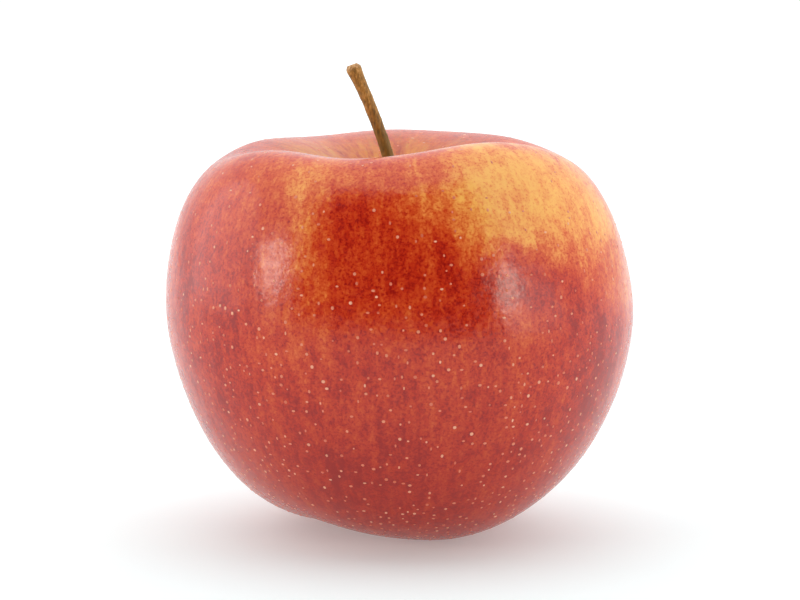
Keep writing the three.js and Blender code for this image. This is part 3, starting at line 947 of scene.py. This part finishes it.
# %% Bark
tree, add, shader = finish_of(bark_material, Roughness=0.62, IOR=1.5)
object_point = add("ShaderNodeTexCoord").outputs["Object"]
mm_point = add("ShaderNodeVectorMath MULTIPLY", object_point, (1 / MM, 1 / MM, 1 / MM))
along = add("ShaderNodeAttribute", attribute_name="along").outputs["Fac"]
fibre = add("ShaderNodeVectorMath MULTIPLY", mm_point, (1, 1, 0.35))
fibre = add("ShaderNodeTexNoise", {"Vector": fibre, "Scale": 1 / 0.45, "Detail": 4.0, "Roughness": 0.65})
bark = colours_along(tree, fibre.outputs["Fac"], [
    (0.30, "#583c14"), (0.44, "#8e6826"), (0.58, "#b88434"), (0.72, "#dcb46c"),
])
fresh = add("ShaderNodeMapRange", along, 0.78, 0.40, 0.0, 0.7, interpolation_type="SMOOTHSTEP")
bark = add("ShaderNodeMix", {"Factor": fresh, "A": bark, "B": linear("#655a1e")}, data_type="RGBA")
torn = add("ShaderNodeMath MULTIPLY_ADD", fibre, 0.03, along)
scar = add("ShaderNodeMapRange", torn, 0.983, 1.003, 0.0, 0.85)
scar_colour = colours_along(tree, fibre.outputs["Fac"], [
    (0.35, "#8a5a2c"), (0.5, "#c8925a"), (0.7, "#e6bd8a"),
])
bark = add("ShaderNodeMix", {"Factor": scar, "A": bark, "B": scar_colour}, data_type="RGBA")
tree.links.new(bark.outputs[2], shader.inputs["Base Color"])
bump = add("ShaderNodeBump", {"Strength": 1.0, "Distance": 0.05 * MM, "Height": fibre})
tree.links.new(bump.outputs["Normal"], shader.inputs["Normal"])

# %% [markdown]
# ## Dried sepals and stamens
#
# Dead leaf tissue, grey-brown and downy on the outside: rough, with no shine at all. The stamens are
# darker and stiffer.

# %% Sepals and stamens
for material, dark, middle, pale, grain_length in (
    (sepal_material, "#3d2b1c", "#6e5539", "#a08a63", 0.5),
    (stamen_material, "#24180f", "#49331f", "#77583a", 0.3),
):
    tree, add, shader = finish_of(material, Roughness=0.85, IOR=1.4)
    object_point = add("ShaderNodeTexCoord").outputs["Object"]
    grain = add("ShaderNodeTexNoise",
                {"Vector": object_point, "Scale": 1 / (grain_length * MM), "Detail": 3.0,
                 "Roughness": 0.6})
    colour = colours_along(tree, grain.outputs["Fac"], [(0.3, dark), (0.5, middle), (0.7, pale)])
    tree.links.new(colour, shader.inputs["Base Color"])
    bump = add("ShaderNodeBump", {"Strength": 1.0, "Distance": 0.05 * MM, "Height": grain})
    tree.links.new(bump.outputs["Normal"], shader.inputs["Normal"])

# %% [markdown]
# ## Joining the frame
#
# Each grown piece is listed with the finish slot of the record that it belongs to, which this loop does not
# apply, and with the measured nodes that it stands for, which are hidden. Every piece rides on the root body.
# The lenticels lie on the fruit, so they are listed with its slot.

# %% Pieces and slots
for piece, slot_name, stands_for in (
    (skin, "skin", ["fruit"]),
    (lenticels, "skin", []),
    (stalk, "stalk_bark", ["stalk"]),
    (sepals, "dried_sepal", ["sepal_1", "sepal_2", "sepal_3", "sepal_4", "sepal_5"]),
    (stamens, "dried_stamen", ["stamen_tuft"]),
):
    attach(piece, "root")
    if stands_for:
        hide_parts(*stands_for)

# %% [markdown]
# ## The studio
#
# A white room: a white floor, and white light from all round, so that the background burns out. What gives
# the apple its form is what is missing from the white. A large dark card curves round the camera and is
# mirrored as a calm dark window in the front of the skin, where its full colour shows. The card also keeps
# light off the floor in front of the apple, so the floor glows a little to make up for it.

# %% Floor and white surroundings
FLOOR_SIZE = 8.0
ROOM_SIDE_LIGHT = 1.05
ROOM_TOP_LIGHT = 1.6
half_floor = FLOOR_SIZE / 2
floor_mesh = bpy.data.meshes.new("floor")
floor_mesh.from_pydata(
    [(-half_floor, -half_floor, 0), (half_floor, -half_floor, 0),
     (half_floor, half_floor, 0), (-half_floor, half_floor, 0)],
    [], [(0, 1, 2, 3)],
)
floor = put_in_scene("floor", floor_mesh)
floor_material = bpy.data.materials.new("white_paper")
finish_of(floor_material, Base_Color=linear("#dfebed"), Roughness=0.9,
          Emission_Color=linear("#faffff"), Emission_Strength=0.25)
floor_mesh.materials.append(floor_material)

world = bpy.data.worlds.new("white_room")
world.use_nodes = True
room_tree = world.node_tree
add = partial(add_node, room_tree)
room_tree.nodes.clear()
room_direction = add("ShaderNodeSeparateXYZ", add("ShaderNodeTexCoord").outputs["Generated"])
room_light = add("ShaderNodeMapRange", room_direction.outputs["Z"], 0.1, 1.0, ROOM_SIDE_LIGHT,
                 ROOM_TOP_LIGHT, interpolation_type="SMOOTHSTEP")
room = add("ShaderNodeBackground", {"Color": (1, 1, 1, 1), "Strength": room_light})
add("ShaderNodeOutputWorld", {"Surface": room})
bpy.context.scene.world = world
bpy.context.scene.view_settings.view_transform = "Standard"

# %% A point on a ball round the apple


def around_apple(distance, azimuth_degrees, elevation_degrees):
    """A point at that distance from the middle of the apple. Azimuth 0 is the camera's side."""
    turn, rise = math.radians(azimuth_degrees), math.radians(elevation_degrees)
    direction = Vector((math.sin(turn) * math.cos(rise), -math.cos(turn) * math.cos(rise), math.sin(rise)))
    return BELT_CENTRE + distance * direction


# %% The dark card
CARD_DISTANCE = 0.9
CARD_STEPS = 24
CARD_LEFT, CARD_RIGHT = -50, 48       # degrees of azimuth
CARD_BOTTOM, CARD_TOP = -2, 62        # degrees of elevation
card_points = []
for row in range(CARD_STEPS + 1):
    for column in range(CARD_STEPS + 1):
        card_azimuth = CARD_LEFT + (CARD_RIGHT - CARD_LEFT) * column / CARD_STEPS
        card_elevation = CARD_BOTTOM + (CARD_TOP - CARD_BOTTOM) * row / CARD_STEPS
        card_points.append(around_apple(CARD_DISTANCE, card_azimuth, card_elevation))
card_faces = []
for row in range(CARD_STEPS):
    for column in range(CARD_STEPS):
        corner = row * (CARD_STEPS + 1) + column
        card_faces.append((corner, corner + 1, corner + CARD_STEPS + 2, corner + CARD_STEPS + 1))
card_mesh = bpy.data.meshes.new("dark_card")
card_mesh.from_pydata(card_points, [], card_faces)
card = put_in_scene("dark_card", card_mesh)
card_material = bpy.data.materials.new("black_card")
finish_of(card_material, Base_Color=linear("#101010"), Roughness=0.9)
card_mesh.materials.append(card_material)
card.visible_camera = False

# %% [markdown]
# ## Two lamps and two sheens
#
# Two soft lamps stand at the sides, close to the card's edges, and put a bright mark on each cheek. Waxed
# skin also shows a wide, weak sheen beside each mark, from the pale walls of a studio. Two large faint
# panels give that. They light nothing: they are only mirrored in the gloss, which no real
# panel could do, so that the colours of the skin can be judged without them.

# %% The lamps
LAMP_DISTANCE = 0.8
for lamp_name, lamp_azimuth, lamp_elevation, lamp_width, lamp_height, watts, tint, lights_form in (
    ("left_lamp", -60, 14, 0.19, 0.28, 1.1, "#fff4e8", True),
    ("right_lamp", 50, 11.5, 0.22, 0.22, 0.95, "#ffeedc", True),
    ("left_sheen", -98, 14, 0.70, 0.80, 1.8, "#ffffff", False),
    ("right_sheen", 64, 2, 0.55, 0.36, 0.6, "#ffffff", False),
):
    lamp_data = bpy.data.lights.new(lamp_name, "AREA")
    lamp_data.shape = "ELLIPSE"
    lamp_data.size = lamp_width
    lamp_data.size_y = lamp_height
    lamp_data.energy = watts
    lamp_data.color = linear(tint)[:3]
    lamp = put_in_scene(lamp_name, lamp_data)
    lamp.location = around_apple(LAMP_DISTANCE, lamp_azimuth, lamp_elevation)
    lamp.rotation_mode = "QUATERNION"
    lamp.rotation_quaternion = (BELT_CENTRE - lamp.location).to_track_quat("-Z", "Y")
    lamp.visible_diffuse = lights_form
